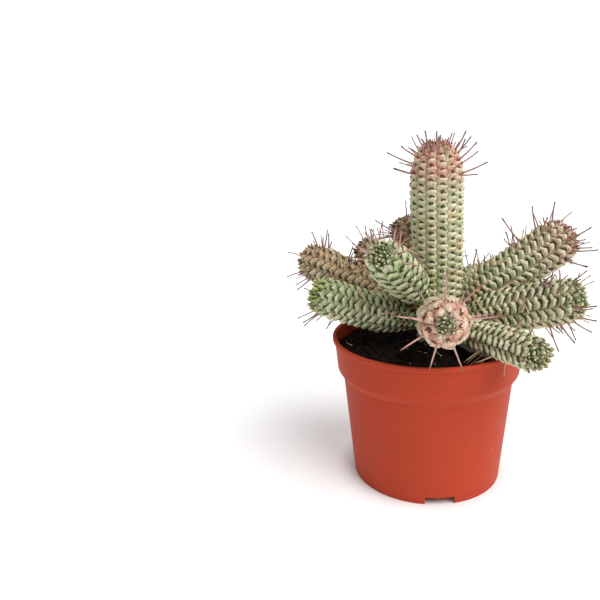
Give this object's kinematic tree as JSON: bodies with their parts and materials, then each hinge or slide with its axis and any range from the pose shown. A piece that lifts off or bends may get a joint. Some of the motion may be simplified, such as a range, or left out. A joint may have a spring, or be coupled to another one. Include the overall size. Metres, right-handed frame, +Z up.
{
  "type": "potted euphorbia",
  "caption": "Clump-forming ribbed succulent with upright main stem, spreading arms and dry flower stalks, in a round plastic nursery pot.",
  "frame": {"origin": "centre of the pot's foot, on the surface the pot stands on", "axes": "+Z up along the pot's axis; -Y is the front, where the short end-on arm points; +X is to the right seen from the front"},
  "size_m": [0.1843, 0.1601, 0.2214],
  "materials": {
    "pot_plastic": "semi-matt moulded terracotta red",
    "soil": "loose damp peat",
    "stem_skin": "matt waxy skin",
    "dry_stalk": "dry and fibrous"
  },
  "bodies": {
    "root": {"arm_back": "stem_skin", "arm_back_left": "stem_skin", "arm_back_right": "stem_skin", "arm_back_right_stalk_1": "dry_stalk", "arm_back_stalk_1": "dry_stalk", "arm_front": "stem_skin", "arm_front_stalk_1": "dry_stalk", "arm_front_stalk_2": "dry_stalk", "arm_front_stalk_3": "dry_stalk", "arm_front_stalk_4": "dry_stalk", "arm_front_stalk_5": "dry_stalk", "arm_front_stalk_6": "dry_stalk", "arm_front_stalk_7": "dry_stalk", "arm_front_stalk_8": "dry_stalk", "arm_left_lower": "stem_skin", "arm_left_lower_stalk_1": "dry_stalk", "arm_left_middle": "stem_skin", "arm_left_middle_stalk_1": "dry_stalk", "arm_left_rear": "stem_skin", "arm_left_upper": "stem_skin", "arm_left_upper_stalk_1": "dry_stalk", "arm_left_upper_stalk_2": "dry_stalk", "arm_right_lower": "stem_skin", "arm_right_lower_stalk_1": "dry_stalk", "arm_right_lower_stalk_2": "dry_stalk", "arm_right_middle": "stem_skin", "arm_right_middle_stalk_1": "dry_stalk", "arm_right_middle_stalk_2": "dry_stalk", "arm_right_middle_stalk_3": "dry_stalk", "arm_right_middle_stalk_4": "dry_stalk", "arm_right_middle_stalk_5": "dry_stalk", "arm_right_middle_stalk_6": "dry_stalk", "arm_right_middle_stalk_7": "dry_stalk", "arm_right_upper": "stem_skin", "arm_right_upper_stalk_1": "dry_stalk", "arm_right_upper_stalk_2": "dry_stalk", "arm_right_upper_stalk_3": "dry_stalk", "arm_right_upper_stalk_4": "dry_stalk", "arm_right_upper_stalk_5": "dry_stalk", "arm_right_upper_stalk_6": "dry_stalk", "arm_right_upper_stalk_7": "dry_stalk", "arm_right_upper_stalk_8": "dry_stalk", "main_stem": "stem_skin", "main_stem_stalk_1": "dry_stalk", "main_stem_stalk_10": "dry_stalk", "main_stem_stalk_11": "dry_stalk", "main_stem_stalk_12": "dry_stalk", "main_stem_stalk_2": "dry_stalk", "main_stem_stalk_3": "dry_stalk", "main_stem_stalk_4": "dry_stalk", "main_stem_stalk_5": "dry_stalk", "main_stem_stalk_6": "dry_stalk", "main_stem_stalk_7": "dry_stalk", "main_stem_stalk_8": "dry_stalk", "main_stem_stalk_9": "dry_stalk", "pot": "pot_plastic", "soil": "soil"}
  },
  "joints": []
}
